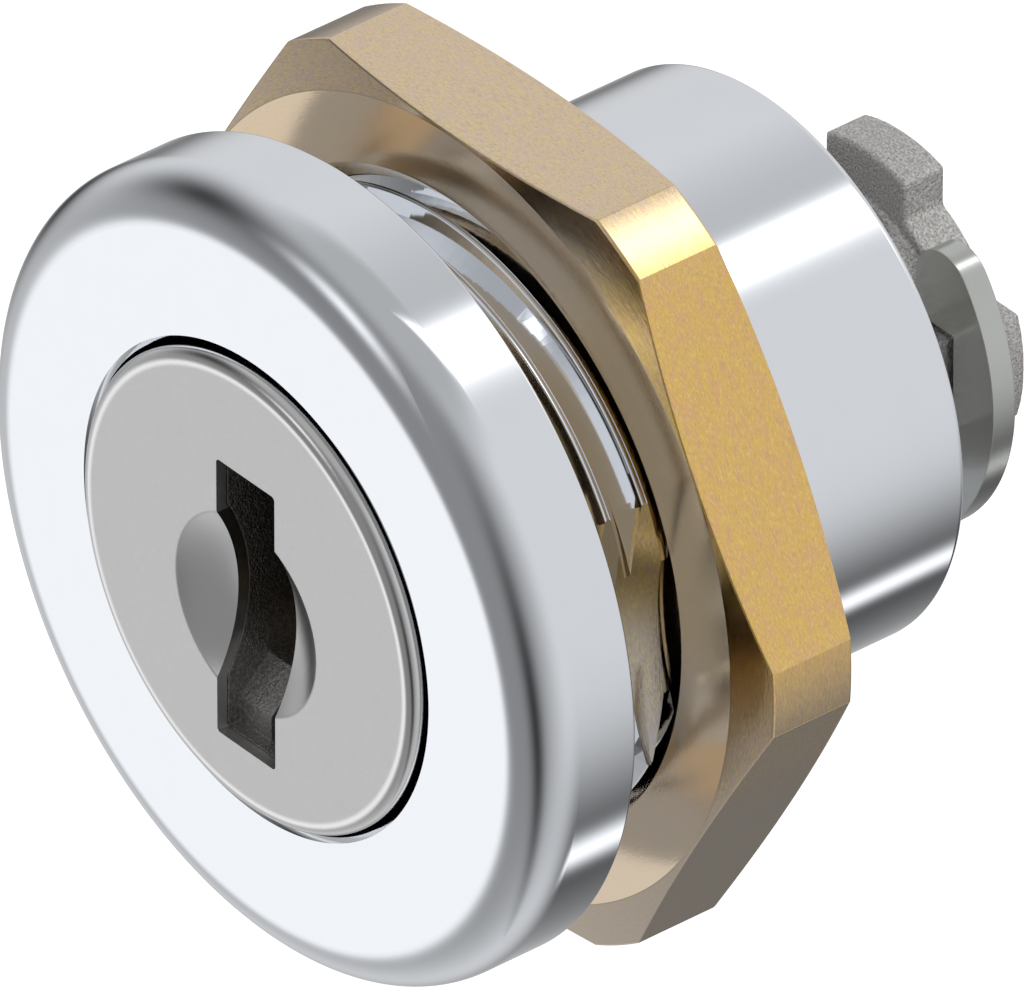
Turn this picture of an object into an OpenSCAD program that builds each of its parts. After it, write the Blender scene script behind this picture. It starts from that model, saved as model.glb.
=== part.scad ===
// Quarter-turn panel lock: round head, threaded body with two flats, hex nut and cam spindle.
// The lock's axis is Y. Y = 0 is the head's rear face, which bears on the panel, and +Y runs
// into the cabinet. +Z is up, and the key goes in at the front, along +Y.

/* [Head] */
// Diameter of the round head
head_d = 28; // [26:0.5:32]
// Thickness of the head, from its front flat to the panel
head_t = 4; // [3.8:0.1:6]
// Radius of the rounded front edge of the head
head_fillet = 1.7; // [0.5:0.1:2]

/* [Threaded body] */
// Outer diameter of the thread
thread_d = 22; // [21.4:0.2:24]
// Pitch of the thread, which sets the relief behind the head and the end chamfer
thread_pitch = 1.5; // [1:0.25:1.5]
// Length of the thread, from the panel face
thread_l = 9.5; // [9:0.5:13]
// Width across the two flats on the thread
flat_w = 19.5; // [19:0.1:20.5]
// Diameter of the plain barrel behind the thread
barrel_d = 19.7; // [19.2:0.1:20]
// Length of the body behind the panel face
body_l = 17; // [16:0.5:22]
// Thickness of the rear wall that carries the spindle
rear_wall_t = 2.7; // [2.3:0.1:4]
// Depth of the undercut in the head's rear face, round the thread
undercut_t = 0.3; // [0.1:0.05:0.5]
// Radial room of that undercut round the thread
undercut_room = 0.4; // [0.2:0.05:0.8]
// Rounding of the barrel's rear edge
barrel_edge = 0.25; // [0.1:0.05:0.5]

/* [Hex nut] */
// How far each flat of the nut lies inside the head's rim
nut_inset = 0.1; // [0:0.05:0.5]
// Thickness of the nut
nut_t = 4.1; // [3:0.1:5]
// How far the turned corners stand out past the flats
nut_corner_out = 1.5; // [1.2:0.05:1.8]
// Depth of the bevel on each face of the nut, measured at the turned corners
nut_bevel = 0.45; // [0.2:0.05:0.8]
// Radial depth of the countersink at each end of the nut's hole
nut_sink = 0.35; // [0.2:0.05:0.6]
// Panel thickness between the head and the nut as they stand
panel_t = 4; // [1:0.5:5]

/* [Core] */
// Diameter of the bore that the plug turns in
bore_d = 14; // [13:0.2:14.4]
// Outer diameter of the sheet cap over the plug
cap_d = 16.6; // [16.2:0.1:17]
// Thickness of the cap's sheet
cap_t = 0.4; // [0.3:0.05:0.5]
// Length of the cap's side, with its face
cap_l = 1.8; // [1.4:0.1:2]
// Radial gap between the cap and the recess in the head
cap_gap = 0.15; // [0.1:0.05:0.3]
// Thickness of the plug's flange, which is the depth of the recess in the head
flange_t = 3.2; // [3:0.1:3.6]
// Thickness of the flange's lip behind its seal
seal_lip = 0.6; // [0.4:0.05:0.7]
// Bevel round the mouth of the recess
mouth_bevel = 0.15; // [0.05:0.05:0.3]

/* [Keyhole] */
// Width of the key slot
key_w = 2.9; // [2.4:0.1:3.2]
// Height of the key slot in the cap
key_h = 10.45; // [10:0.05:10.8]
// Height of the slot's centre above the lock's axis
key_z = -0.78; // [-1:0.02:-0.6]
// Height of the blade's way through the plug
blade_h = 8.35; // [7.5:0.05:8.5]
// Diameter of the dish pressed round the slot
dish_d = 7; // [6:0.1:8]
// Depth of the dish
dish_depth = 1.05; // [0.6:0.05:1.2]
// Depth of the ledge at the foot of the slot, below the cap's face
ledge_depth = 0.94; // [0.7:0.02:1.2]
// Height of the ledge, from the foot of the slot to the ramp
ledge_h = 0.9; // [0.5:0.1:1.2]
// Width of the groove beside the ledge
groove_w = 1.35; // [1:0.05:1.6]
// Thickness left between the end of that groove and the shoulder
groove_wall = 0.4; // [0.2:0.05:0.5]

/* [Wafers] */
// Thickness of a wafer
wafer_t = 1; // [0.8:0.05:1.05]
// Width of a wafer
wafer_w = 5.2; // [4.8:0.1:5.6]
// How far a wafer stands out of the plug with the key out
wafer_travel = 0.7; // [0.4:0.1:0.8]
// Play of a wafer in its slot, on each side
wafer_play = 0.03; // [0.02:0.01:0.05]
// Width of a wafer's window beyond the key slot, on each side
window_play = 0.1; // [0.05:0.05:0.2]
// Reach of the wafer's arm beside its plate, which the spring lifts
arm_l = 2.1; // [1.8:0.1:2.2]
// Thickness of the arm
arm_t = 1; // [0.8:0.1:1.2]
// Height of the arm's sprung side above the axis
arm_z = 1.3; // [1:0.1:1.6]
// Room under the arm before it meets its ledge
arm_room = 0.4; // [0.2:0.05:0.5]
// Thickness of the plug before the first wafer
wafer_lead = 0.6; // [0.4:0.1:1]
// Outer diameter of a wafer spring
spring_d = 1.1; // [0.9:0.05:1.2]
// Diameter of the spring wire
wire_d = 0.2; // [0.15:0.01:0.24]
// Length of a wafer spring with the key in
spring_l = 4.3; // [3.8:0.1:4.6]
// Radial room round a spring in its hole
spring_room = 0.1; // [0.05:0.05:0.15]
// Room past a wafer's end in the body's groove
groove_room = 0.3; // [0.2:0.05:0.4]

/* [Snap ring and seals] */
// Thickness of the snap ring that holds the plug
ring_t = 0.8; // [0.6:0.1:1]
// Radial width of the snap ring
ring_w = 1.3; // [1.1:0.1:1.4]
// Depth of the snap ring's groove in the body
ring_bite = 0.65; // [0.5:0.05:0.8]
// Thickness of the plug on each side of the ring's groove
ring_wall = 0.2; // [0.15:0.05:0.4]
// Opening of the snap ring, in degrees
ring_open = 30; // [15:5:60]
// Cord diameter of the two sealing rings
seal_cord = 1; // [0.9:0.05:1.1]

/* [Spindle] */
// Diameter of the hole in the rear wall, which the spindle's teeth pass
journal_d = 12.6; // [12.4:0.1:13]
// Thickness of the spindle's flange
stop_t = 2; // [1.6:0.1:2.6]
// Diameter of the spindle inside its stop sector
stop_root_d = 11; // [10.5:0.1:11.6]
// Quarter turn between the stops, in degrees
turn = 90; // [90:1:100]
// Width of the fixed stop, in degrees
stop_w = 24; // [16:2:36]
// Length of the tongue that joins the spindle to the plug
tongue_l = 1.5; // [1:0.1:2]
// Thickness of the tongue
tongue_w = 4; // [3:0.2:5]
// Room between the tongue's rounded ends and the snap ring
tongue_room = 0.3; // [0.2:0.05:0.6]
// How far the journal stands out of the body
journal_out = 0.1; // [0.05:0.05:0.3]
// Diameter of the neck that the cam sits on
neck_d = 8.3; // [7.8:0.1:8.6]
// Width across the two side keys of the neck
key_span = 10.5; // [10:0.1:10.8]
// Thickness of the side keys
side_key_w = 3.7; // [3:0.1:4]
// Room for the cam between the journal and the clip
cam_t = 3; // [2:0.1:4]
// Diameter of the toothed end between its teeth
end_root_d = 9.3; // [9:0.1:10]
// Diameter over the teeth
tooth_d = 12; // [11:0.1:12.2]
// Width of a tooth
tooth_w = 3.9; // [3:0.1:4.2]
// Thickness of the toothed end
end_t = 1.7; // [1.2:0.1:2.4]

/* [Cam clip] */
// Outer diameter of the clip
clip_d = 15; // [14:0.5:17]
// Thickness of the clip
clip_t = 0.9; // [0.7:0.1:1.2]
// Height of the clip's finger tips above the axis
finger_top = 5; // [4.5:0.1:5.4]
// Half width of the opening between the fingers
mouth = 3.65; // [3.4:0.05:3.9]
// Room of the clip's side notches round the side keys
notch_room = 0.25; // [0.1:0.05:0.4]

/* [Running gaps] */
// Radial play of each turning fit, and of the nut on the thread
turn_play = 0.05; // [0.02:0.01:0.08]
// Play along the axis between parts that meet
end_play = 0.05; // [0.02:0.01:0.1]
// Slack of the stop sector beyond the quarter turn, in degrees
stop_slack = 1; // [0.5:0.5:3]

/* [Hidden] */
$fn = 96;
// Overlaps of joined solids and of cuts, and a size larger than the lock
eps = 0.01;
over = 1;
big = 60;
// The clip's round finger tips stand this proud, and the cut between them runs this many
// degrees into them, so that their outline crosses the clip's
tip_proud = 0.02;
tip_cut = 1;

// Places along the axis
front_y = -head_t;
cap_face_y = front_y - cap_t;
shoulder_y = front_y + flange_t;
cap_end_y = cap_face_y + cap_l;
wall_y = body_l - rear_wall_t;
stop_y = wall_y - end_play - stop_t;
plug_end_y = stop_y - end_play;
tongue_y = plug_end_y - tongue_l;
ring_room = ring_t + 2 * end_play;
ring_y = tongue_y - ring_wall - ring_room;
wafer_count = 6;
wafer_y = shoulder_y + wafer_lead;
wafer_pitch = (ring_y - ring_wall - wafer_y) / wafer_count;
keyway_end_y = wafer_y + wafer_count * wafer_pitch;
journal_end_y = body_l + journal_out;
clip_y = journal_end_y + cam_t;
end_y = clip_y + clip_t;

// Radii
bore_r = bore_d / 2;
plug_r = bore_r - turn_play;
recess_r = cap_d / 2 + cap_gap;
cap_in_r = cap_d / 2 - cap_t;
thread_r = thread_d / 2;
thread_root_r = thread_r - 0.6134 * thread_pitch;
thread_depth = thread_r - thread_root_r;
nut_bore_r = thread_r + turn_play;
nut_flat_r = head_d / 2 - nut_inset;
nut_corner_r = nut_flat_r + nut_corner_out;
stop_root_r = stop_root_d / 2;
ring_out_r = bore_r + ring_bite - turn_play;
ring_in_r = ring_out_r - ring_w;
wall_hole_r = journal_d / 2;
journal_r = wall_hole_r - turn_play;
neck_r = neck_d / 2;

// Seals: each lies just clear of the wall that it runs against
seal_room = seal_cord + 2 * end_play;
plug_seal_y = shoulder_y - seal_lip - seal_room / 2;
plug_seal_r = recess_r - turn_play - seal_cord / 2;
spindle_seal_y = (wall_y + body_l) / 2;
spindle_seal_r = wall_hole_r - turn_play - seal_cord / 2;

// Keyhole
key_top = key_z + key_h / 2;
key_foot = key_z - key_h / 2;
blade_foot = key_top - blade_h;
dish_r = dish_d / 2;
dish_sphere_r = (dish_r * dish_r + dish_depth * dish_depth) / (2 * dish_depth);
dish_y = cap_face_y + dish_depth - dish_sphere_r;
groove_end_y = shoulder_y - groove_wall;

// Wafers: what the key lifts differs from one to the next, and each second one is upside down
bittings = [0.5, 1.1, 0.8, 1.4, 0.5, 1.1];
slot_w = wafer_w + 2 * wafer_play;
slot_t = wafer_t + 2 * wafer_play;
arm_end = wafer_w / 2 + arm_l;
spring_x = wafer_w / 2 + arm_l / 2;
spring_foot = arm_z - spring_l;
spring_hole_r = spring_d / 2 + spring_room;
coil_turns = 7;
coil_closed = wire_d * 1.05;
coil_tall = spring_l - wire_d - 2 * end_play;
body_groove_r = plug_r + wafer_travel + groove_room;

// Turned form about the lock's axis, from points of radius and Y
module turned(points) rotate([-90, 0, 0]) rotate_extrude() polygon(points);

// Plate of an outline of X and Z, from y0 to y1
module plate(y0, y1) translate([0, y1, 0]) rotate([90, 0, 0]) linear_extrude(y1 - y0) children();

// Disc or rod on the lock's axis, from y0 to y1
module disc(r, y0, y1) translate([0, y0, 0]) rotate([-90, 0, 0]) cylinder(r = r, h = y1 - y0);

// Quarter circle of points about (r, y), from angle a0 to a1
function arc(r, y, rad, a0, a1) = [for (k = [0:12]) let (a = a0 + (a1 - a0) * k / 12)
  [r + rad * cos(a), y + rad * sin(a)]];

// Sector of X and Z, its angles counted from +Z towards +X, as the key turns
module sector(r, a0, a1) polygon(concat([[0, 0]], [for (k = [0:6]) let (a = a0 + (a1 - a0) * k / 6)
  r / cos((a1 - a0) / 12) * [sin(a), cos(a)]]));

module housing() color("gainsboro") {
  barrel_r = barrel_d / 2;
  head_r = head_d / 2;
  undercut_r = thread_r + undercut_room;
  difference() {
    union() {
      turned(concat([[0, front_y]],
        arc(head_r - head_fillet, front_y + head_fillet, head_fillet, -90, 0),
        [[head_r, 0], [undercut_r, 0], [undercut_r, -undercut_t], [0, -undercut_t]]));
      intersection() {
        thread_blank();
        translate([-flat_w / 2, -over, -big / 2]) cube([flat_w, thread_l + 2 * over, big]);
      }
      turned(concat([[0, thread_l - over], [barrel_r, thread_l - over]],
        arc(barrel_r - barrel_edge, body_l - barrel_edge, barrel_edge, 0, 90), [[0, body_l]]));
    }
    disc(recess_r, front_y - over, shoulder_y);
    turned([[0, front_y - eps], [recess_r + mouth_bevel, front_y - eps],
      [recess_r, front_y + mouth_bevel], [0, front_y + mouth_bevel]]);
    disc(bore_r, shoulder_y - eps, wall_y);
    disc(bore_r + ring_bite, ring_y, ring_y + ring_room);
    disc(wall_hole_r, wall_y - eps, body_l + over);
    for (a = [0, 90]) rotate([0, a, 0]) wafer_groove();
  }
  fixed_stop();
}

// Stop that stands in from the bore, against the rear wall
module fixed_stop() plate(stop_y + end_play, wall_y) difference() {
  intersection() {
    circle(bore_r + over / 2);
    sector(bore_r + over, 180 - stop_w / 2, 180 + stop_w / 2);
  }
  circle(stop_root_r + turn_play);
}

// Blank of the thread, with the relief behind the head and the chamfered end
module thread_blank() {
  relief = 0.6 * thread_pitch;
  turned([[0, -over / 2], [thread_root_r, -over / 2], [thread_root_r, relief],
    [thread_r, relief + thread_depth], [thread_r, thread_l - thread_depth],
    [thread_root_r, thread_l], [0, thread_l]]);
}

// Pair of grooves along the bore that the wafers spring into
module wafer_groove() {
  plate(shoulder_y - eps, wafer_front(wafer_count) + wafer_t + groove_room) intersection() {
    circle(body_groove_r);
    square([slot_w + groove_room, big], center = true);
  }
}

module hex_nut() color("goldenrod") {
  y0 = panel_t;
  y1 = panel_t + nut_t;
  sink_r = nut_bore_r + nut_sink;
  difference() {
    intersection() {
      plate(y0, y1) circle(r = nut_flat_r / cos(30), $fn = 6);
      turned([[0, y0], [nut_flat_r, y0], [nut_corner_r, y0 + nut_bevel],
        [nut_corner_r, y1 - nut_bevel], [nut_flat_r, y1], [0, y1]]);
    }
    disc(nut_bore_r, y0 - over, y1 + over);
    turned([[0, y0 - eps], [sink_r, y0 - eps], [0, y0 + sink_r]]);
    turned([[0, y1 + eps], [sink_r, y1 + eps], [0, y1 - sink_r]]);
  }
}

// Ball that presses the dish; grown, it is the dish's inner side
module dish_ball(grow) translate([0, dish_y, key_z]) sphere(dish_sphere_r + grow);

// Key slot of the cap, with room on every side
module key_slot(y0, y1) plate(y0, y1) translate([0, key_z]) square([key_w, key_h], center = true);

module core_cap() color("silver") {
  difference() {
    union() {
      turned(concat([[0, cap_face_y]], arc(cap_d / 2 - cap_t, cap_face_y + cap_t, cap_t, -90, 0),
        [[cap_d / 2, cap_end_y], [cap_in_r, cap_end_y], [cap_in_r, front_y], [0, front_y]]));
      intersection() {
        dish_ball(cap_t);
        disc(cap_in_r, cap_face_y + cap_t / 2, shoulder_y);
      }
    }
    dish_ball(0);
    key_slot(cap_face_y - 1, shoulder_y);
  }
}

module plug() color("dimgray") {
  lip_r = recess_r - turn_play;
  seat_r = cap_in_r - turn_play;
  floor_r = plug_seal_r - seal_cord / 2 - turn_play;
  y_a = plug_seal_y - seal_room / 2;
  y_b = plug_seal_y + seal_room / 2;
  ring_seat_r = ring_in_r - turn_play;
  difference() {
    turned([[0, front_y + end_play], [seat_r, front_y + end_play], [seat_r, y_a], [floor_r, y_a],
      [floor_r, y_b], [lip_r, y_b], [lip_r, shoulder_y - end_play],
      [plug_r, shoulder_y - end_play], [plug_r, ring_y], [ring_seat_r, ring_y],
      [ring_seat_r, ring_y + ring_room], [plug_r, ring_y + ring_room], [plug_r, plug_end_y],
      [0, plug_end_y]]);
    dish_ball(cap_t + turn_play);
    keyway();
    for (i = [1:wafer_count]) wafer_slot(i);
    translate([-big / 2, tongue_y, -tongue_w / 2]) cube([big, tongue_l + over, tongue_w]);
  }
}

// Way for the key: the blade's full depth, the ledge and ramp at its foot and the side groove
module keyway() {
  y0 = front_y - over;
  ledge_y = cap_face_y + ledge_depth;
  ledge_top = key_foot + ledge_h;
  ramp_y = ledge_y + blade_foot - ledge_top;
  plate(y0, keyway_end_y) translate([-key_w / 2, blade_foot]) square([key_w, blade_h]);
  plate(y0, groove_end_y) translate([key_w / 2 - groove_w, key_foot])
    square([groove_w, blade_foot - key_foot + over]);
  translate([-key_w / 2, 0, 0]) rotate([90, 0, 90]) linear_extrude(key_w)
    polygon([[y0, key_foot], [ledge_y, key_foot], [ledge_y, ledge_top],
      [ramp_y, blade_foot], [ramp_y, blade_foot + over], [y0, blade_foot + over]]);
}

// Front of wafer i, and its turn about the axis: each second one works downwards
function wafer_front(i) = wafer_y + (i - 1) * wafer_pitch;
function wafer_turn(i) = i % 2 == 1 ? 0 : 180;

// Slot through the plug for wafer i, with the arm's pocket and the spring's blind hole
module wafer_slot(i) {
  y0 = wafer_front(i) - wafer_play;
  rotate([0, wafer_turn(i), 0]) {
    plate(y0, y0 + slot_t) {
      square([slot_w, big], center = true);
      translate([0, arm_z - arm_room]) square([arm_end + wafer_play, big]);
    }
    translate([spring_x, wafer_front(i) + wafer_t / 2, spring_foot])
      cylinder(r = spring_hole_r, h = arm_z - spring_foot, $fn = 32);
  }
}

// Wafer i, flush with the plug as the key holds it
module wafer(i) color("darkkhaki") {
  y0 = wafer_front(i);
  window_w = key_w + 2 * window_play;
  window_foot = (wafer_turn(i) == 0 ? blade_foot : -key_top) + bittings[i - 1];
  window_top = (wafer_turn(i) == 0 ? key_top : -blade_foot) + window_play;
  rotate([0, wafer_turn(i), 0]) plate(y0, y0 + wafer_t) {
    difference() {
      intersection() {
        circle(plug_r - turn_play);
        square([wafer_w, big], center = true);
      }
      translate([-window_w / 2, window_foot]) square([window_w, window_top - window_foot]);
    }
    translate([window_w / 2 + eps, arm_z]) square([arm_end - window_w / 2 - eps, arm_t]);
  }
}

// Height of a spring's wire after t turns: closed coils at both ends, open ones between
function coil_rise(t) = t < 1 ? coil_closed * t
  : t > coil_turns - 1 ? coil_tall - coil_closed * (coil_turns - t)
  : coil_closed + (coil_tall - 2 * coil_closed) / (coil_turns - 2) * (t - 1);

// Compression spring under the arm of wafer i, swept as a ring of points at each step
module wafer_spring(i) color("lightsteelblue") {
  steps = 10;
  sides = 6;
  rings = coil_turns * steps;
  points = [for (k = [0:rings], s = [0:sides - 1])
    let (a = 360 * k / steps, b = 360 * s / sides, r = (spring_d - wire_d + wire_d * cos(b)) / 2)
    [r * cos(a), r * sin(a), coil_rise(k / steps) + wire_d / 2 * sin(b)]];
  walls = [for (k = [0:rings - 1], s = [0:sides - 1]) let (n = (s + 1) % sides)
    [k * sides + s, (k + 1) * sides + s, (k + 1) * sides + n, k * sides + n]];
  ends = [[for (s = [0:sides - 1]) s], [for (s = [0:sides - 1]) rings * sides + sides - 1 - s]];
  rotate([0, wafer_turn(i), 0])
    translate([spring_x, wafer_front(i) + wafer_t / 2, spring_foot + wire_d / 2 + end_play])
      polyhedron(points, concat(walls, ends), convexity = 8);
}

// Sealing ring of round cord about the axis
module seal(r, y) translate([0, y, 0]) rotate([-90, 0, 0]) rotate_extrude()
  translate([r, 0]) circle(seal_cord / 2, $fn = 32);

module plug_seal() color("black") seal(plug_seal_r, plug_seal_y);

module spindle_seal() color("black") seal(spindle_seal_r, spindle_seal_y);

module snap_ring() color("slategray") {
  y0 = ring_y + end_play;
  plate(y0, y0 + ring_t) difference() {
    circle(ring_out_r);
    circle(ring_in_r);
    sector(ring_out_r + over, -ring_open / 2, ring_open / 2);
  }
}

module spindle() color("gray") {
  floor_r = spindle_seal_r - seal_cord / 2 - turn_play;
  y_a = spindle_seal_y - seal_room / 2;
  y_b = spindle_seal_y + seal_room / 2;
  difference() {
    turned([[0, stop_y], [plug_r, stop_y], [plug_r, stop_y + stop_t], [journal_r, stop_y + stop_t],
      [journal_r, y_a], [floor_r, y_a], [floor_r, y_b], [journal_r, y_b],
      [journal_r, journal_end_y], [neck_r, journal_end_y], [neck_r, end_y + end_t],
      [0, end_y + end_t]]);
    stop_sector();
  }
  plate(tongue_y + end_play, stop_y + eps) intersection() {
    circle(ring_in_r - tongue_room);
    square([big, tongue_w - 2 * turn_play], center = true);
  }
  plate(journal_end_y - eps, end_y + eps) square([key_span, side_key_w], center = true);
  plate(end_y, end_y + end_t) {
    circle(end_root_d / 2);
    intersection() {
      circle(tooth_d / 2);
      union() {
        square([big, tooth_w], center = true);
        square([tooth_w, big], center = true);
      }
    }
  }
}

// Sector of the spindle's flange that lets the fixed stop pass through the quarter turn
module stop_sector() plate(stop_y - over, wall_y + end_play) difference() {
  sector(bore_r + over, 180 - stop_w / 2 - stop_slack - turn, 180 + stop_w / 2 + stop_slack);
  circle(stop_root_r);
}

module cam_clip() color("darkgray") {
  clip_r = clip_d / 2;
  run = mouth - finger_top + clip_r;
  tip_r = sqrt(run * run + clip_r * clip_r - mouth * mouth - finger_top * finger_top) - run;
  tip_x = mouth + tip_r;
  tip_z = finger_top - tip_r;
  tip_turn = atan2(tip_x, tip_z);
  plate(clip_y, end_y) difference() {
    union() {
      difference() {
        circle(clip_r);
        sector(clip_r + over, -tip_turn - tip_cut, tip_turn + tip_cut);
      }
      for (side = [-1, 1]) {
        translate([side * tip_x, tip_z]) circle(tip_r + tip_proud);
        translate([side * (mouth / 2 + tip_x) / 2, tip_z / 2])
          square([tip_x - mouth / 2, tip_z], center = true);
      }
    }
    circle(neck_r + turn_play);
    translate([-mouth, 0]) square([2 * mouth, clip_d]);
    square([key_span + 2 * notch_room, side_key_w + 2 * notch_room], center = true);
  }
}

housing();
hex_nut();
core_cap();
plug();
wafer(1);  // wafer_1
wafer(2);  // wafer_2
wafer(3);  // wafer_3
wafer(4);  // wafer_4
wafer(5);  // wafer_5
wafer(6);  // wafer_6
wafer_spring(1);  // wafer_spring_1
wafer_spring(2);  // wafer_spring_2
wafer_spring(3);  // wafer_spring_3
wafer_spring(4);  // wafer_spring_4
wafer_spring(5);  // wafer_spring_5
wafer_spring(6);  // wafer_spring_6
plug_seal();
snap_ring();
spindle();
spindle_seal();
cam_clip();
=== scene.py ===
import math

import bmesh
import bpy
from mathutils import Matrix, Vector, noise


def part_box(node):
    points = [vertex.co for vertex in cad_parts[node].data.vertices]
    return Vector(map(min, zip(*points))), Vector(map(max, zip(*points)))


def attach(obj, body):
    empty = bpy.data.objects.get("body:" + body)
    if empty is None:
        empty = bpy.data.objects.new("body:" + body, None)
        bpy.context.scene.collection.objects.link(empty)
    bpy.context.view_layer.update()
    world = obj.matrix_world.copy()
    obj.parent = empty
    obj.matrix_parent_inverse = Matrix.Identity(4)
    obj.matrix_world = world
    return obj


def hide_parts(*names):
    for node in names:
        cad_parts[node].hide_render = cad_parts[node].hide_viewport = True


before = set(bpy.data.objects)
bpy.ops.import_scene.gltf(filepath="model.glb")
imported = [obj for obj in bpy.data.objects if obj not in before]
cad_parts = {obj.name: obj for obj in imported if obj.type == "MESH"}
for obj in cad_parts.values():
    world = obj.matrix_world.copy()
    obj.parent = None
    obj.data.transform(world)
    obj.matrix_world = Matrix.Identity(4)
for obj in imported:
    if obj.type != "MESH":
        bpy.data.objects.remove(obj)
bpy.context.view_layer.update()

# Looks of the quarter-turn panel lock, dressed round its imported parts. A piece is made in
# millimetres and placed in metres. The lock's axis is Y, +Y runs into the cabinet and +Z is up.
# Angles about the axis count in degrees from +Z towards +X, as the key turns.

MM = 0.001


def reach(node, axis):
    """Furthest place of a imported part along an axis, in millimetres."""
    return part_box(node)[1][axis] / MM


def start(node, axis):
    """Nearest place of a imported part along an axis, in millimetres."""
    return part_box(node)[0][axis] / MM


# Length of the tongue that reaches from the spindle's flange into the plug
TONGUE_L = 1.5

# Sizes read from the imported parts
HEAD_R = reach("housing", 0)
FRONT_Y = start("housing", 1)
BODY_END = reach("housing", 1)
NUT_FRONT = start("hex_nut", 1)
NUT_BACK = reach("hex_nut", 1)
NUT_FLAT_R = reach("hex_nut", 2)
NUT_CORNER_R = reach("hex_nut", 0)
CAP_R = reach("core_cap", 0)
CAP_FACE = start("core_cap", 1)
CAP_END = reach("core_cap", 1)
STOP_Y = start("spindle", 1) + TONGUE_L
SPINDLE_END = reach("spindle", 1)
CLIP_FRONT = start("cam_clip", 1)
CLIP_BACK = reach("cam_clip", 1)
CLIP_R = reach("cam_clip", 0)

# Housing
HEAD_FILLET = 1.7
HEAD_REAR_EDGE = 0.12
UNDERCUT_R = 11.4
UNDERCUT_T = 0.3
RECESS_R = 8.45
MOUTH_BEVEL = 0.15
SHOULDER_Y = -0.8
BORE_R = 7.0
RING_GROOVE_R = 7.65
RING_GROOVE = (9.6, 10.5)
WALL_Y = 14.3
WALL_HOLE_R = 6.3
BARREL_R = 9.85
BARREL_EDGE = 0.25
WAFER_GROOVE_R = 7.95
WAFER_GROOVE_W = 5.56
WAFER_GROOVE_END = 9.1
FIXED_STOP_W = 24
FIXED_STOP_GAP = 0.05

# Thread
PITCH = 1.5
THREAD_R = 11.0
ROOT_R = 10.08
THREAD_END = 9.5
RELIEF_END = 0.9
FLAT_HALF = 9.75
RIDGE_Y = 2.4
RIDGE_ANGLE = 75
THREAD_PLAY = 0.05

# Nut
NUT_BEVEL = 0.45
NUT_EDGE = 0.07
NUT_FACE_INSET = 0.1
NUT_HOLE_R = 10.2
NUT_SINK_R = 11.4

# Cap
SHEET = 0.4
DISH_R = 3.5
DISH_DEPTH = 1.05
DISH_LIP = 0.18
KEY_W = 2.9
KEY_H = 10.45
KEY_Z = -0.78
CAP_FLAT_R = 6.2

# Spindle
SECTOR_SWEEP = (-103, 13)
PLUG_R = 6.95
JOURNAL_R = 6.25
JOURNAL_END = 17.1
SEAL_FLOOR_R = 5.2
SEAL_GROOVE = (15.1, 16.2)
STOP_T = 2.0
STOP_ROOT_R = 5.5
NECK_R = 4.15
KEY_SPAN = 10.5
SIDE_KEY_W = 3.7
END_ROOT_R = 4.65
TOOTH_R = 6.0
TOOTH_W = 3.9
TONGUE_W = 3.9
TONGUE_R = 6.0

# Clip
FINGER_TOP = 5.0
MOUTH = 3.65
NOTCH_HALF = (5.5, 2.1)
CLIP_BORE_R = 4.2

# Studio, in brightness where 1 is white
WALLS = 0.70
DIM_ROOM = 0.26
ROOM_FADE = (-0.9, 0.3)
CEILING = 0.45
CEILING_RISE = (40, 70)

# Flags and soft boxes of the studio: heading from +Y towards +X, height, half width and half
# height, all in degrees, and brightness. Each stands where the polished surface that shows it
# mirrors the camera's view: the top of the head's rounded edge, the underside of the barrel, the
# left and the right of the rounded edge, the nut's upper corner, the low barrel, the face, and
# the rounded edge where it meets the face.
TOP_FLAG = (-115, 20, 30, 20, 0.06)
FLOOR_FLAG = (10, -50, 60, 22, 0.02)
LEFT_FLAG = (-70, -20, 25, 12, 0.06)
RIGHT_FLAG = (145, -25, 15, 45, 0.05)
KEY_BOX = (20, 55, 10, 20, 3.0)
LOW_BOX = (25, -55, 8, 5, 1.2)
FACE_BOX = (-130, -35, 16, 10, 1.0)
EDGE_BOX = (-160, 25, 15, 10, 1.0)

# View: the camera's heading and height in degrees, its distance, and where it aims, right of and
# above the origin, in millimetres
VIEW_HEADING = 50.5
VIEW_HEIGHT = 34.5
VIEW_DISTANCE = 1347.9
VIEW_AIM = (5.004, 1.581)
LENS = 1500

# Sides of a turned form, and the distance of the loop that keeps a face flat beside a round edge
STEPS = 256
HOLD = 0.03


def polar(radius, angle):
    """X and Z at an angle from +Z towards +X."""
    turn = math.radians(angle)
    return radius * math.sin(turn), radius * math.cos(turn)


def arc(centre, radius, first, last, steps=12):
    """Points of an arc in a plane, its angles counted from the plane's first axis."""
    points = []
    for k in range(steps + 1):
        turn = math.radians(first + (last - first) * k / steps)
        points.append((centre[0] + radius * math.cos(turn), centre[1] + radius * math.sin(turn)))
    return points


def solid(name, points, faces):
    """Closed mesh with its normals outwards."""
    mesh = bpy.data.meshes.new(name)
    mesh.from_pydata(points, [], faces)
    obj = bpy.data.objects.new(name, mesh)
    bpy.context.scene.collection.objects.link(obj)
    clean(obj)
    return obj


def clean(obj, gap=1e-4):
    """Merges points that coincide and turns the normals outwards."""
    shape = bmesh.new()
    shape.from_mesh(obj.data)
    bmesh.ops.remove_doubles(shape, verts=shape.verts, dist=gap)
    bmesh.ops.dissolve_degenerate(shape, edges=shape.edges, dist=gap)
    bmesh.ops.recalc_face_normals(shape, faces=shape.faces)
    shape.to_mesh(obj.data)
    shape.free()


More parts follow.
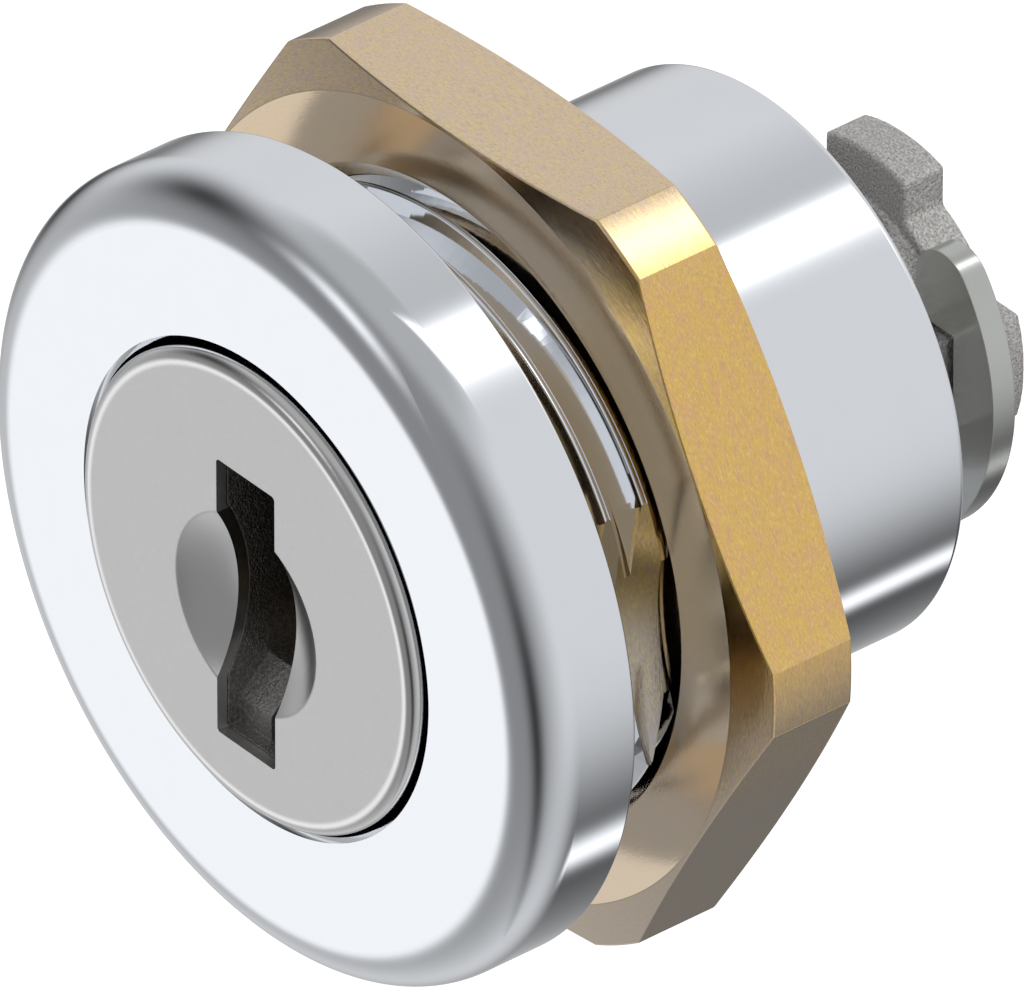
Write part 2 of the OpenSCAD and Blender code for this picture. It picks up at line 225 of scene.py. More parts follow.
def loft(name, loops, closed=False):
    """Skin over loops of equally many points; closed joins the last loop to the first."""
    count = len(loops[0])
    points = [point for loop in loops for point in loop]
    faces = []
    for i in range(len(loops) if closed else len(loops) - 1):
        here = i * count
        there = (i + 1) % len(loops) * count
        for k in range(count):
            n = (k + 1) % count
            faces.append((here + k, here + n, there + n, there + k))
    if not closed:
        faces.append(tuple(range(count)))
        faces.append(tuple(range(len(points) - count, len(points))))
    return solid(name, points, faces)


def ring(radius, y, centre_z=0.0, steps=STEPS):
    """Circle of points about the axis."""
    points = []
    for k in range(steps):
        x, z = polar(radius, 360 * k / steps)
        points.append((x, y, centre_z + z))
    return points


def turned(name, profile, bored=False, steps=STEPS):
    """Turned form from places of radius and Y; a bored one closes on itself."""
    return loft(name, [ring(radius, y, steps=steps) for radius, y in profile], bored)


def plate(name, outline, y0, y1):
    """Plate of an outline of X and Z."""
    return loft(name, [[(x, y, z) for x, z in outline] for y in (y0, y1)])


def block(name, low, high):
    """Box between two corners."""
    outline = [(low[0], low[2]), (high[0], low[2]), (high[0], high[2]), (low[0], high[2])]
    return plate(name, outline, low[1], high[1])


def settle(obj):
    """Makes the object's modifiers part of its mesh."""
    bpy.context.view_layer.update()
    graph = bpy.context.evaluated_depsgraph_get()
    mesh = bpy.data.meshes.new_from_object(obj.evaluated_get(graph), depsgraph=graph)
    obj.modifiers.clear()
    old = obj.data
    obj.data = mesh
    bpy.data.meshes.remove(old)


def combine(obj, operation, tool):
    """Joins, cuts or keeps what two solids share; the tool is used up."""
    change = obj.modifiers.new(operation, "BOOLEAN")
    change.operation = operation
    change.solver = "EXACT"
    change.object = tool
    settle(obj)
    bpy.data.objects.remove(tool)
    clean(obj)
    return obj


def modify(obj, kind, **settings):
    """Adds a modifier and makes it part of the mesh."""
    change = obj.modifiers.new(kind, kind)
    for name, value in settings.items():
        setattr(change, name, value)
    settle(obj)
    return obj


def thread_ridge(name, play, first, last):
    """Right-handed ridge of the thread from one Y to another, grown by the play on every side."""
    steps = 120
    base_r = ROOT_R - 0.3
    foot = 0.625 + play
    crest = 0.094 + play
    crest_r = THREAD_R + play
    root_r = ROOT_R + play / 2
    round_off = 0.05
    section = [(base_r, -foot), (root_r, -foot), (crest_r - round_off, -crest - 0.6 * round_off),
               (crest_r, -crest + round_off), (crest_r, crest - round_off),
               (crest_r - round_off, crest + 0.6 * round_off), (root_r, foot), (base_r, foot)]
    first_step = round((first - RIDGE_Y) / PITCH * steps)
    last_step = round((last - RIDGE_Y) / PITCH * steps)
    loops = []
    for k in range(first_step, last_step + 1):
        loop = []
        for radius, rise in section:
            x, z = polar(radius, RIDGE_ANGLE + 360 * k / steps)
            loop.append((x, RIDGE_Y + PITCH * k / steps + rise, z))
        loops.append(loop)
    return loft(name, loops)


def make_housing():
    """Head, body and barrel turned in one, with the thread, the wafers' grooves and the stop."""
    rear = HEAD_R - HEAD_REAR_EDGE
    inner_r = FLAT_HALF - 0.25
    barrel_start = THREAD_END - 0.05
    head = arc((HEAD_R - HEAD_FILLET, FRONT_Y + HEAD_FILLET), HEAD_FILLET, -90, 0, 24)
    head += [(HEAD_R, FRONT_Y + HEAD_FILLET + HOLD), (HEAD_R, -HEAD_REAR_EDGE - HOLD)]
    head += arc((rear, -HEAD_REAR_EDGE), HEAD_REAR_EDGE, 0, 90, 4)
    barrel = arc((BARREL_R - BARREL_EDGE, BODY_END - BARREL_EDGE), BARREL_EDGE, 0, 90, 6)
    profile = [(RECESS_R + MOUTH_BEVEL, FRONT_Y), (HEAD_R - HEAD_FILLET - HOLD, FRONT_Y)]
    profile += head + [(rear - HOLD, 0), (UNDERCUT_R, 0), (UNDERCUT_R, -UNDERCUT_T)]
    profile += [(inner_r, -UNDERCUT_T), (inner_r, barrel_start), (BARREL_R, barrel_start)]
    profile += [(BARREL_R, BODY_END - BARREL_EDGE - HOLD)] + barrel
    profile += [(BARREL_R - BARREL_EDGE - HOLD, BODY_END), (WALL_HOLE_R, BODY_END)]
    profile += [(WALL_HOLE_R, WALL_Y), (BORE_R, WALL_Y)]
    profile += [(BORE_R, RING_GROOVE[1]), (RING_GROOVE_R, RING_GROOVE[1])]
    profile += [(RING_GROOVE_R, RING_GROOVE[0]), (BORE_R, RING_GROOVE[0])]
    profile += [(BORE_R, SHOULDER_Y), (RECESS_R, SHOULDER_Y), (RECESS_R, FRONT_Y + MOUTH_BEVEL)]
    shell = turned("lock_body", profile, bored=True)
    combine(shell, "UNION", threaded_sleeve())
    for groove in wafer_grooves():
        combine(shell, "DIFFERENCE", groove)
    return combine(shell, "UNION", fixed_stop())


def threaded_sleeve():
    """Thread with its relief, its chamfered end and its two flats."""
    tube_r = RECESS_R - 0.15
    start_y = SHOULDER_Y + 0.1
    depth = THREAD_R - ROOT_R
    sleeve = turned("sleeve", [(tube_r, start_y), (ROOT_R, start_y), (ROOT_R, THREAD_END),
                               (tube_r, THREAD_END)], bored=True)
    sunk = ROOT_R - 0.1
    inner = ROOT_R - 0.4
    crest = THREAD_R + 0.05
    limit = turned("limit", [(inner, RELIEF_END - 0.1), (sunk, RELIEF_END - 0.1),
                             (crest, RELIEF_END + depth + 0.05), (crest, THREAD_END - depth - 0.05),
                             (ROOT_R + 0.02, THREAD_END - 0.02), (inner, THREAD_END - 0.02)], bored=True)
    ridge = thread_ridge("ridge", 0, RELIEF_END - PITCH, THREAD_END + PITCH)
    combine(ridge, "INTERSECT", limit)
    combine(sleeve, "UNION", ridge)
    flats = block("flats", (-FLAT_HALF, -5, -20), (FLAT_HALF, 15, 20))
    return combine(sleeve, "INTERSECT", flats)


def wafer_grooves():
    """Cutters of the four grooves that the wafers spring into."""
    half = WAFER_GROOVE_W / 2
    side = math.degrees(math.asin(half / WAFER_GROOVE_R))
    ends = arc((0, 0), WAFER_GROOVE_R, 90 - side, 90 + side)
    ends += arc((0, 0), WAFER_GROOVE_R, -90 - side, -90 + side)
    upright = plate("groove_a", ends, SHOULDER_Y - 0.01, WAFER_GROOVE_END)
    level = plate("groove_b", [(z, -x) for x, z in ends], SHOULDER_Y - 0.01, WAFER_GROOVE_END)
    return upright, level


def fixed_stop():
    """Stop inside the rear wall that the spindle's sector turns against."""
    half = FIXED_STOP_W / 2
    outline = arc((0, 0), BORE_R + 0.3, -90 - half, -90 + half)
    outline += arc((0, 0), STOP_ROOT_R + FIXED_STOP_GAP, -90 + half, -90 - half)
    return plate("stop", outline, STOP_Y + FIXED_STOP_GAP, WALL_Y + 0.005)


def nut_outline(rounding=0.15):
    """Six flats with turned corners, as X and Z."""
    lean = math.degrees(math.acos((NUT_FLAT_R - rounding) / (NUT_CORNER_R - rounding)))
    turn_r = NUT_CORNER_R - rounding
    points = []
    for side in range(6):
        middle = 60 * side
        half_flat = turn_r * math.sin(math.radians(lean))
        ahead = polar(1, middle)
        along = (ahead[1], -ahead[0])
        for share in [k / 20 - 1 for k in range(1, 40)]:
            reach_along = half_flat * share
            points.append((NUT_FLAT_R * ahead[0] + reach_along * along[0],
                           NUT_FLAT_R * ahead[1] + reach_along * along[1]))
        centre = polar(turn_r, middle + lean)
        for k in range(5):
            x, z = polar(rounding, middle + lean * k / 4)
            points.append((centre[0] + x, centre[1] + z))
        for k in range(1, 12):
            points.append(polar(NUT_CORNER_R, middle + lean + (60 - 2 * lean) * k / 12))
        centre = polar(turn_r, middle + 60 - lean)
        for k in range(5):
            x, z = polar(rounding, middle + 60 - lean + lean * k / 4)
            points.append((centre[0] + x, centre[1] + z))
    return points


def make_nut():
    """Nut with a cone across its corners at each face, and the body's thread cut in its hole."""
    outline = nut_outline()
    edge = NUT_EDGE
    face_r = NUT_FLAT_R - NUT_FACE_INSET
    slope = NUT_BEVEL / (NUT_CORNER_R - face_r)

    def half(face_y, inward):
        """Loops of one face, from its countersink out to the side."""
        loops = {key: [] for key in ("hole", "sink", "face", "cone", "edge", "side")}
        for x, z in outline:
            radius = math.hypot(x, z)
            drop = slope * (radius - face_r)
            places = {"hole": (NUT_HOLE_R, NUT_SINK_R - NUT_HOLE_R), "sink": (NUT_SINK_R, 0),
                      "face": (face_r, 0), "cone": (radius - edge, drop - 0.3 * edge),
                      "edge": (radius - 0.2 * edge, drop + 0.2 * edge), "side": (radius, drop + edge)}
            for key, (place_r, depth) in places.items():
                loops[key].append((x * place_r / radius, face_y + inward * depth, z * place_r / radius))
        return list(loops.values())

    nut = loft("panel_nut", half(NUT_FRONT, 1) + half(NUT_BACK, -1)[::-1], closed=True)
    return combine(nut, "DIFFERENCE", thread_ridge("tap", THREAD_PLAY, NUT_FRONT - PITCH, NUT_BACK + PITCH))


def make_cap():
    """Sheet cap with its rolled rim, the pressed dish and the key slot."""
    ball_r = (DISH_R ** 2 + DISH_DEPTH ** 2) / (2 * DISH_DEPTH)
    ball_y = CAP_FACE + DISH_DEPTH - ball_r
    lip_y = CAP_FACE + DISH_LIP
    lip_r = math.sqrt((ball_r + DISH_LIP) ** 2 - (lip_y - ball_y) ** 2)
    lean = math.degrees(math.atan2(lip_y - ball_y, lip_r))
    core = 0.3
    dish = arc((0, ball_y), ball_r, math.degrees(math.acos(core / ball_r)), lean, 24)
    dish += arc((lip_r, lip_y), DISH_LIP, 180 + lean, 270, 10)[1:]
    back_r = ball_r + SHEET
    back_end = math.degrees(math.asin((CAP_FACE + SHEET - ball_y) / back_r))
    dish_back = arc((0, ball_y), back_r, math.degrees(math.acos(core / back_r)), back_end, 24)

    inner_r = CAP_R - SHEET
    front = [(r, y, KEY_Z) for r, y in dish + [(lip_r + HOLD, CAP_FACE)]]
    front += [(CAP_FLAT_R, CAP_FACE, 0), (inner_r - HOLD, CAP_FACE, 0)]
    rim = [(r, y, 0) for r, y in arc((inner_r, CAP_FACE + SHEET), SHEET, -90, 0, 10)]
    foot = [(CAP_R, CAP_END, 0), (inner_r, CAP_END, 0), (inner_r, CAP_FACE + SHEET, 0)]
    back = [(CAP_FLAT_R, CAP_FACE + SHEET, 0)] + [(r, y, KEY_Z) for r, y in dish_back[::-1]]
    cap = loft("key_cap", [ring(r, y, z) for r, y, z in front + rim + foot + back], closed=True)
    corner = 0.15
    outline = []
    for x, z, first in ((1, 1, 0), (-1, 1, 90), (-1, -1, 180), (1, -1, 270)):
        centre = (x * (KEY_W / 2 - corner), KEY_Z + z * (KEY_H / 2 - corner))
        outline += arc(centre, corner, first, first + 90, 5)
    return combine(cap, "DIFFERENCE", plate("slot", outline, CAP_FACE - 1, CAP_END + 1))


def make_spindle():
    """Die-cast spindle: its solids are grown together into one skin with soft edges and a cast grain."""
    flange_end = STOP_Y + STOP_T
    flange = turned("cam_spindle", [(PLUG_R, STOP_Y), (PLUG_R, flange_end)], steps=128)
    sweep = arc((0, 0), PLUG_R + 2, *SECTOR_SWEEP, 24) + arc((0, 0), STOP_ROOT_R, *SECTOR_SWEEP[::-1], 24)
    combine(flange, "DIFFERENCE", plate("sector", sweep, STOP_Y - 1, flange_end + 1))
    shaft = turned("shaft", [(STOP_ROOT_R - 0.2, STOP_Y + 0.2), (JOURNAL_R, flange_end),
                             (JOURNAL_R, SEAL_GROOVE[0]), (SEAL_FLOOR_R, SEAL_GROOVE[0]),
                             (SEAL_FLOOR_R, SEAL_GROOVE[1]), (JOURNAL_R, SEAL_GROOVE[1]),
                             (JOURNAL_R, JOURNAL_END), (NECK_R, JOURNAL_END), (NECK_R, SPINDLE_END)],
                   steps=128)
    end = turned("end", [(END_ROOT_R, CLIP_BACK), (END_ROOT_R, SPINDLE_END)], steps=128)
    parts = [flange, shaft, end]
    half_tooth = math.degrees(math.asin(TOOTH_W / 2 / TOOTH_R))
    for turn in (0, 90):
        ends = arc((0, 0), TOOTH_R, turn - half_tooth, turn + half_tooth)
        ends += arc((0, 0), TOOTH_R, 180 + turn - half_tooth, 180 + turn + half_tooth)
        parts.append(plate("tooth", ends, CLIP_BACK, SPINDLE_END))
    keys = (KEY_SPAN / 2, SIDE_KEY_W / 2)
    parts.append(block("side_keys", (-keys[0], JOURNAL_END - 0.2, -keys[1]),
                       (keys[0], CLIP_BACK + 0.2, keys[1])))
    lean = math.degrees(math.asin(TONGUE_W / 2 / TONGUE_R))
    tongue = arc((0, 0), TONGUE_R, -lean, lean) + arc((0, 0), TONGUE_R, 180 - lean, 180 + lean)
    parts.append(plate("tongue", tongue, start("spindle", 1), STOP_Y + 0.2))
    join(parts)
    return cast_skin(flange, "spindle", voxel=0.08, grain=0.006)


def join(parts):
    """Adds the other meshes to the first."""
    shape = bmesh.new()
    for part in parts:
        shape.from_mesh(part.data)
    shape.to_mesh(parts[0].data)
    shape.free()
    for part in parts[1:]:
        bpy.data.objects.remove(part)


def cast_skin(obj, node, voxel, grain):
    """Grows joined solids into one skin, rounds its edges and gives it a cast grain."""
    modify(obj, "REMESH", mode="VOXEL", voxel_size=voxel)
    modify(obj, "SMOOTH", factor=0.5, iterations=8)
    low, high = (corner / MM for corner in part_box(node))
    places = [point.co.copy() for point in obj.data.vertices]
    outwards = [point.normal.copy() for point in obj.data.vertices]
    flat = []
    for place, outward in zip(places, outwards):
        lift = noise.noise(place * 2.3) * 0.6 + noise.noise(place * 6.1) * 0.4
        moved = place + outward * lift * grain
        flat += [min(max(moved[k], low[k]), high[k]) for k in range(3)]
    obj.data.vertices.foreach_set("co", flat)
    obj.data.update()
    return obj


def make_clip():
    """Spring-steel clip with full-round finger tips."""
    run = MOUTH - FINGER_TOP + CLIP_R
    tip_r = math.sqrt(run ** 2 + CLIP_R ** 2 - MOUTH ** 2 - FINGER_TOP ** 2) - run
    tip = (MOUTH + tip_r, FINGER_TOP - tip_r)
    tip_turn = math.degrees(math.atan2(tip[1], tip[0]))
    notch_x, notch_z = NOTCH_HALF
    neck_turn = math.degrees(math.asin(notch_z / CLIP_BORE_R))
    right = arc((0, 0), CLIP_R, -90, tip_turn, 48) + arc(tip, tip_r, tip_turn, 180, 24)[1:]
    right += [(MOUTH, notch_z), (notch_x, notch_z), (notch_x, -notch_z)]
    right += arc((0, 0), CLIP_BORE_R, -neck_turn, -90, 24)
    left = [(-x, z) for x, z in right[-2:0:-1]]
    return plate("spindle_clip", right + left, CLIP_FRONT, CLIP_BACK)


class Socket:
    """A node's output, so that shader maths reads as plain expressions."""

    def __init__(self, paint, output):
        self.paint = paint
        self.output = output

    def math(self, operation, *values):
        return self.paint.add("ShaderNodeMath", {"operation": operation}, dict(enumerate(values)))

    def __add__(self, other):
        return self.math("ADD", self, other)

    def __sub__(self, other):
        return self.math("SUBTRACT", self, other)

    def __mul__(self, other):
        return self.math("MULTIPLY", self, other)

    def __truediv__(self, other):
        return self.math("DIVIDE", self, other)

    def __rsub__(self, other):
        return self.math("SUBTRACT", other, self)

    __radd__ = __add__
    __rmul__ = __mul__


class Paint:
    """The nodes of one material or of the world."""

    def __init__(self, tree):
        self.tree = tree
        tree.nodes.clear()

    def add(self, kind, settings=None, values=None, out=0):
        """Adds a node, its settings first and then its sockets, and returns one output."""
        made = self.tree.nodes.new(kind)
        for name, value in (settings or {}).items():
            setattr(made, name, value)
        for key, value in (values or {}).items():
            if isinstance(value, Socket):
                self.tree.links.new(value.output, made.inputs[key])
            else:
                made.inputs[key].default_value = value
        return Socket(self, made.outputs[out] if len(made.outputs) else None)

    def place(self):
        """Place on the piece, in millimetres."""
        spot = self.add("ShaderNodeTexCoord", out="Object")
        return self.add("ShaderNodeVectorMath", {"operation": "SCALE"}, {0: spot, "Scale": 1 / MM})

    def axes(self, vector):
        """X, Y and Z of a vector, each as a number."""
        parts = self.add("ShaderNodeSeparateXYZ", values={0: vector})
        return [Socket(self, output) for output in parts.output.node.outputs]

    def off_axis(self, x, z):
        """Distance from the lock's axis."""
        square = x * x + z * z
        return square.math("SQRT", square)

    def joined(self, x, y, z):
        """A vector of three numbers."""
        return self.add("ShaderNodeCombineXYZ", values={0: x, 1: y, 2: z})

    def grain(self, place, scale, detail=3.0, rough=0.55):
        """Noise from 0 to 1 with so many grains to a millimetre."""
        return self.add("ShaderNodeTexNoise", {"noise_dimensions": "3D"},
                        {"Vector": place, "Scale": scale, "Detail": detail, "Roughness": rough})

    def step(self, value, low, high):
        """0 below low and 1 above high, with a soft rise between."""
        return self.add("ShaderNodeMapRange", {"interpolation_type": "SMOOTHSTEP"},
                        {"Value": value, "From Min": low, "From Max": high})

    def blend(self, share, first, second):
        """Colour between two colours."""
        return self.add("ShaderNodeMix", {"data_type": "RGBA"}, {0: share, 6: first, 7: second}, out=2)

    def stretched(self, place, along):
        """The place with each axis scaled, for a brushed grain."""
        return self.add("ShaderNodeVectorMath", {"operation": "MULTIPLY"}, {0: place, 1: along})

    def surface(self, colour, roughness, height=None, depth=0.0, edge=0.0, metallic=1.0):
        """The material's surface, its edges softened and its grain lifted by depth in millimetres."""
        values = {"Base Color": colour, "Roughness": roughness, "Metallic": metallic}
        normal = None
        if edge:
            normal = self.add("ShaderNodeBevel", {"samples": 6}, {"Radius": edge * MM})
        if height is not None:
            bump = {"Strength": 1.0, "Distance": depth * MM, "Height": height}
            if normal is not None:
                bump["Normal"] = normal
            normal = self.add("ShaderNodeBump", values=bump)
        if normal is not None:
            values["Normal"] = normal
        shader = self.add("ShaderNodeBsdfPrincipled", values=values)
        self.add("ShaderNodeOutputMaterial", values={"Surface": shader})


def new_material(name):
    material = bpy.data.materials.new(name)
    material.use_nodes = True
    return material, Paint(material.node_tree)


def grey(level, tint=0.0):
    """Opaque grey, a little bluer with a tint above 0."""
    return (level * (1 - tint), level, level * (1 + tint), 1)


def chrome_plate():
    material, paint = new_material("polished_chrome")
    place = paint.place()
    film = paint.grain(place, 0.9, 4)
    fine = paint.grain(place, 9.0, 2)
    colour = paint.blend(film, (0.865, 0.895, 0.945, 1), (0.89, 0.915, 0.955, 1))
    paint.surface(colour, 0.03 + film * 0.02 + fine * 0.02)
    return material


def yellow_zinc():
    """Yellow-passivated zinc: gold with tan, rosy and olive clouds over a finely brushed grain
    that runs round the nut, with a painted sheen of richer gold on the flats facing up and right,
    and painted shade on the lower flats and on the front face."""
    material, paint = new_material("yellow_passivation")
    place = paint.place()
    x, y, z = paint.axes(place)
    from_axis = paint.off_axis(x, z)
    around = x.math("ARCTAN2", x, z) * NUT_FLAT_R
    brush = paint.grain(paint.joined(around * 1.5, y * 18, from_axis * 18), 1.0, 3)
    fleck = paint.grain(paint.joined(around * 5, y * 16, from_axis * 16), 1.0, 3, 0.7)
    clouds = paint.grain(paint.joined(around * 1.4, y * 4, from_axis * 4), 1.0, 5, 0.7)
    gold = (0.91, 0.60, 0.19, 1)
    rosy = (0.89, 0.53, 0.27, 1)
    bright = (1.0, 0.80, 0.26, 1)
    tan = (0.84, 0.67, 0.44, 1)
    mauve = (0.82, 0.64, 0.52, 1)
    olive = (0.58, 0.48, 0.22, 1)
    painted_sheen_gold = paint.blend(paint.step(clouds, 0.40, 0.66), gold, rosy)
    pale = paint.blend(paint.step(clouds, 0.40, 0.64), mauve, tan)
    # Painted sheen: the flats facing up and to the right take the richer gold and rosy clouds, the other
    # sides the paler mauve and tan.
    lean = (x * 0.866 + z * 0.5) / from_axis
    colour = paint.blend(paint.step(lean, 0.80, 0.93), pale, painted_sheen_gold)
    colour = paint.blend(paint.step(fleck, 0.52, 0.68) * 0.7, colour, bright)
    colour = paint.blend(paint.step(1 - fleck, 0.52, 0.68) * 0.6, colour, olive)
    # Painted shade: the lower flats turn a duller grey-brown.
    underside_painted_shade = paint.step(0 - z / from_axis, 0.2, 0.45)
    colour = paint.blend(underside_painted_shade * 0.7, colour, (0.70, 0.62, 0.53, 1))
    # Painted shade: the front face is darker and browner than the flats.
    face = 1 - paint.step(y, NUT_FRONT + 0.005, NUT_FRONT + 0.02)
    colour = paint.blend(face * 0.7, colour, (0.62, 0.50, 0.36, 1))
    roughness = 0.09 + fleck * 0.08
    paint.surface(colour, roughness, brush * 0.6 + fleck * 0.4, 0.003)
    return material


def satin_nickel():
    """Satin sheet with a polished rolled rim and a burnished dish."""
    material, paint = new_material("satin_sheet")
    place = paint.place()
    x, y, z = paint.axes(place)
    from_axis = paint.off_axis(x, z)
    rim = paint.step(from_axis, CAP_R - 0.62, CAP_R - 0.42)
    rise = z - KEY_Z
    dish = 1 - paint.step(x * x + rise * rise, (DISH_R - 0.1) ** 2, DISH_R ** 2)
    fine = paint.grain(place, 9.0, 3)
    clouds = paint.grain(place, 0.5, 3)
    colour = paint.blend(clouds, grey(0.81), grey(0.84))
    colour = paint.blend(rim + dish, colour, grey(0.82))
    roughness = (0.34 + fine * 0.08) * (1 - rim - dish) + 0.10 * rim + 0.2 * dish
    paint.surface(colour, roughness, fine, 0.002)
    return material


def die_cast_zinc():
    """Rough casting: warm grey with a wrinkled skin, and painted shade over the plug deep in the bore,
    darkest towards its top.
    """
    material, paint = new_material("rough_casting")
    place = paint.place()
    wrinkles = paint.grain(place, 5.0, 2, 0.5)
    fine = paint.grain(place, 12.0, 3, 0.6)
    colour = paint.blend(paint.step(fine, 0.3, 0.7), (0.40, 0.39, 0.38, 1), (0.84, 0.82, 0.80, 1))
    x, y, z = paint.axes(place)
    # Painted shade over the plug inside the bore, deeper towards its top and lighter low down.
    keyway_painted_shade = (1 - paint.step(y, 9, 10)) * (0.35 + 0.4 * paint.step(z, -3.4, -1.6))
    colour = paint.blend(keyway_painted_shade, colour, (0.10, 0.09, 0.08, 1))
    paint.surface(colour, 0.30 + fine * 0.16, wrinkles * 0.4 + fine * 0.6, 0.09, edge=0.08)
    return material


def satin_steel():
    material, paint = new_material("rolled_steel")
    place = paint.place()
    fine = paint.grain(paint.stretched(place, (6.0, 20.0, 6.0)), 1.0, 3)
    clouds = paint.grain(place, 0.6, 3)
    colour = paint.blend(clouds, (0.56, 0.575, 0.55, 1), (0.62, 0.635, 0.61, 1))
    paint.surface(colour, 0.16 + fine * 0.1, fine, 0.002, edge=0.05)
    return material


def spring_steel():
    material, paint = new_material("spring_wire")
    film = paint.grain(paint.place(), 4.0, 3)
    paint.surface(paint.blend(film, grey(0.34, 0.03), grey(0.48, 0.03)), 0.2 + film * 0.15)
    return material


def wafer_brass():
    material, paint = new_material("stamped_brass")
    place = paint.place()
    clouds = paint.grain(place, 1.2, 4)
    fine = paint.grain(place, 9.0, 3)
    colour = paint.blend(clouds, (0.68, 0.48, 0.20, 1), (0.80, 0.60, 0.28, 1))
    paint.surface(colour, 0.26 + clouds * 0.14, fine, 0.006)
    return material


def black_rubber():
    material, paint = new_material("moulded_rubber")
    fine = paint.grain(paint.place(), 6.0, 4)
    colour = paint.blend(fine, grey(0.012), grey(0.03))
    paint.surface(colour, 0.5 + fine * 0.2, fine, 0.01, metallic=0.0)
    return material


def shade_turned(mesh, flat_reach):
    """Normals of turned faces that follow the surface round the axis exactly; faces parallel to
    the axis at the reach of the flats keep their own."""
    corner_normals = [corner.vector.copy() for corner in mesh.corner_normals]
    normals = []
    for face in mesh.polygons:
        fx, fy, fz = face.normal
        spread = math.hypot(fx, fz)
        for corner in face.loop_indices:
            normal = corner_normals[corner]
            place = mesh.vertices[mesh.loops[corner].vertex_index].co
            outward = Vector((place.x, 0, place.z)).normalized()
            lean = outward.x * fx + outward.z * fz
            if abs(fy) < 0.02 and abs(abs(fx * place.x + fz * place.z) - flat_reach) < 0.004:
                normal = face.normal.copy()
            elif spread < 0.005:
                normal = Vector((0, math.copysign(1, fy), 0))
            elif abs(lean) > 0.9985 * spread:
                axial = 0 if abs(fy) < 0.002 else normal.y
                normal = outward * math.copysign(math.sqrt(max(1 - axial ** 2, 0)), lean)
                normal.y = axial
            normals.append(normal)
    mesh.normals_split_custom_set(normals)


def place_piece(obj, slot, body, node, sharp=30, flat_reach=None):
    """Scales a piece to metres, shades it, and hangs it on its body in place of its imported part."""
    obj.data.polygons.foreach_set("use_smooth", [True] * len(obj.data.polygons))
    obj.data.set_sharp_from_angle(angle=math.radians(sharp))
    modify(obj, "WEIGHTED_NORMAL", keep_sharp=True)
    if flat_reach is not None:
        shade_turned(obj.data, flat_reach)
    obj.data.transform(Matrix.Scale(MM, 4))
    obj.data.materials.clear()
    obj.data.materials.append(finishes[slot])
    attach(obj, body)
    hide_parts(node)


def dress(node, finish):
    """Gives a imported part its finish."""
    material = finishes[finish]
    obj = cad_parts[node]
    if not obj.material_slots:
        obj.data.materials.append(material)
    for slot in obj.material_slots:
        slot.material = material


def studio_light(paint):
    """What polished metal sees: pale walls towards +Y that fade into a dim room, a grey ceiling,
    then the dark flags, then the bright soft boxes."""
    x, y, z = paint.axes(paint.add("ShaderNodeTexCoord", out="Generated"))
    heading = x.math("ARCTAN2", x, y) * math.degrees(1)
    height = z.math("ARCSINE", z) * math.degrees(1)
    walls = DIM_ROOM + paint.step(y, *ROOM_FADE) * (WALLS - DIM_ROOM)
    level = walls + paint.step(height, *CEILING_RISE) * (CEILING - walls)
    for centre, middle, half_w, half_h, shown in (TOP_FLAG, FLOOR_FLAG, LEFT_FLAG, RIGHT_FLAG,
                                                  KEY_BOX, LOW_BOX, FACE_BOX, EDGE_BOX):
        across = (heading - centre) / half_w
        upright = (height - middle) / half_h
        fall = 0 - across * across - upright * upright
        level = level + fall.math("EXPONENT", fall) * (shown - level)
    return level


def make_world():
    world = bpy.data.worlds.new("studio")
    world.use_nodes = True
    bpy.context.scene.world = world
    paint = Paint(world.node_tree)
    rays = paint.add("ShaderNodeLightPath").output.node.outputs
    mirrored = Socket(paint, rays["Is Glossy Ray"])
    seen = Socket(paint, rays["Is Camera Ray"])
    level = studio_light(paint)
    plain = 0.85
    glow = plain + mirrored * (level - plain)
    glow = glow + seen * (1 - glow)
    colour = paint.add("ShaderNodeCombineColor", values={0: glow, 1: glow, 2: glow})
    shader = paint.add("ShaderNodeBackground", values={"Color": colour, "Strength": 1.0})
    paint.add("ShaderNodeOutputWorld", values={"Surface": shader})


def make_floor():
    """Pale floor well below the lock; polished metal looks past it at the studio."""
    below = 60
    size = 400
    floor = block("floor", (-size, -size, -below - 2), (size, size, -below))
    floor.data.transform(Matrix.Scale(MM, 4))
    material, paint = new_material("pale_floor")
    rays = paint.add("ShaderNodeLightPath").output.node.outputs
    matt = paint.add("ShaderNodeBsdfDiffuse", values={"Color": grey(0.85)})
    glow = paint.add("ShaderNodeEmission", values={"Color": grey(1), "Strength": 1.0})
    clear = paint.add("ShaderNodeBsdfTransparent")
    lit = paint.add("ShaderNodeAddShader", values={0: matt, 1: paint.add(
        "ShaderNodeEmission", values={"Color": grey(1), "Strength": 0.35})})
    camera_side = paint.add("ShaderNodeMixShader", values={
        0: Socket(paint, rays["Is Camera Ray"]), 1: matt, 2: lit})
    clear_side = paint.add("ShaderNodeMixShader", values={
        0: Socket(paint, rays["Is Glossy Ray"]), 1: camera_side, 2: clear})
    shader = paint.add("ShaderNodeMixShader", values={
        0: Socket(paint, rays["Is Transmission Ray"]), 1: clear_side, 2: glow})
    paint.add("ShaderNodeOutputMaterial", values={"Surface": shader})
    floor.data.materials.append(material)


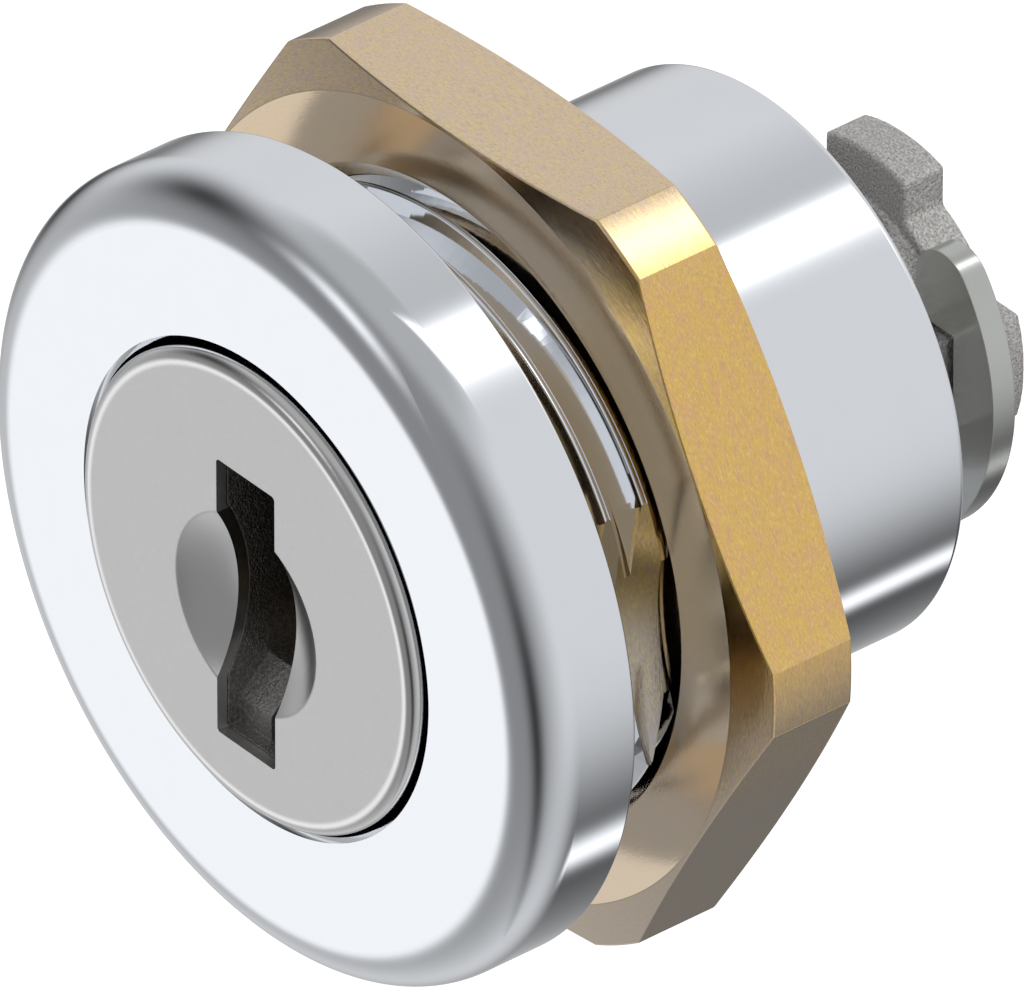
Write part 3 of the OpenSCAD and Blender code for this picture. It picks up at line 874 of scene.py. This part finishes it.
def make_lamp():
    lamp = bpy.data.lights.new("soft_lamp", "AREA")
    lamp.size = 0.5
    lamp.energy = 1.0
    obj = bpy.data.objects.new("soft_lamp", lamp)
    obj.location = (-0.15, -0.35, 0.7)
    obj.rotation_euler = (-obj.location).to_track_quat("-Z", "Y").to_euler()
    obj.visible_glossy = False
    obj.visible_camera = False
    bpy.context.scene.collection.objects.link(obj)


def make_camera():
    """The photograph's view: a long lens, so that parallel edges stay parallel."""
    azimuth = math.radians(VIEW_HEADING)
    elevation = math.radians(VIEW_HEIGHT)
    level = math.cos(elevation)
    back = Vector((math.sin(azimuth) * level, -math.cos(azimuth) * level, math.sin(elevation)))
    right = Vector((math.cos(azimuth), math.sin(azimuth), 0))
    up = back.cross(right)
    target = right * VIEW_AIM[0] * MM + up * VIEW_AIM[1] * MM
    camera = bpy.data.cameras.new("camera")
    camera.lens = LENS
    camera.sensor_width = 36
    camera.clip_start = 0.05
    camera.clip_end = 10
    obj = bpy.data.objects.new("camera", camera)
    turn = Matrix((right, up, back)).transposed().to_4x4()
    obj.matrix_world = Matrix.Translation(target + back * VIEW_DISTANCE * MM) @ turn
    bpy.context.scene.collection.objects.link(obj)
    bpy.context.scene.camera = obj


make_camera()
make_world()
make_lamp()
make_floor()

finishes = {maker.__name__: maker() for maker in (
    chrome_plate, yellow_zinc, satin_nickel, die_cast_zinc, satin_steel, spring_steel,
    wafer_brass, black_rubber)}

place_piece(make_housing(), "chrome_plate", "body", "housing", flat_reach=FLAT_HALF)
place_piece(make_nut(), "yellow_zinc", "nut", "hex_nut", sharp=12, flat_reach=NUT_FLAT_R)
place_piece(make_cap(), "satin_nickel", "rotor", "core_cap")
place_piece(make_spindle(), "die_cast_zinc", "rotor", "spindle", sharp=60)
place_piece(make_clip(), "satin_steel", "rotor", "cam_clip", flat_reach=0)

dress("plug", "die_cast_zinc")
dress("snap_ring", "spring_steel")
for seal in ("plug_seal", "spindle_seal"):
    dress(seal, "black_rubber")
for count in range(1, 7):
    dress(f"wafer_{count}", "wafer_brass")
    dress(f"wafer_spring_{count}", "spring_steel")

bpy.context.scene.view_settings.view_transform = "Standard"
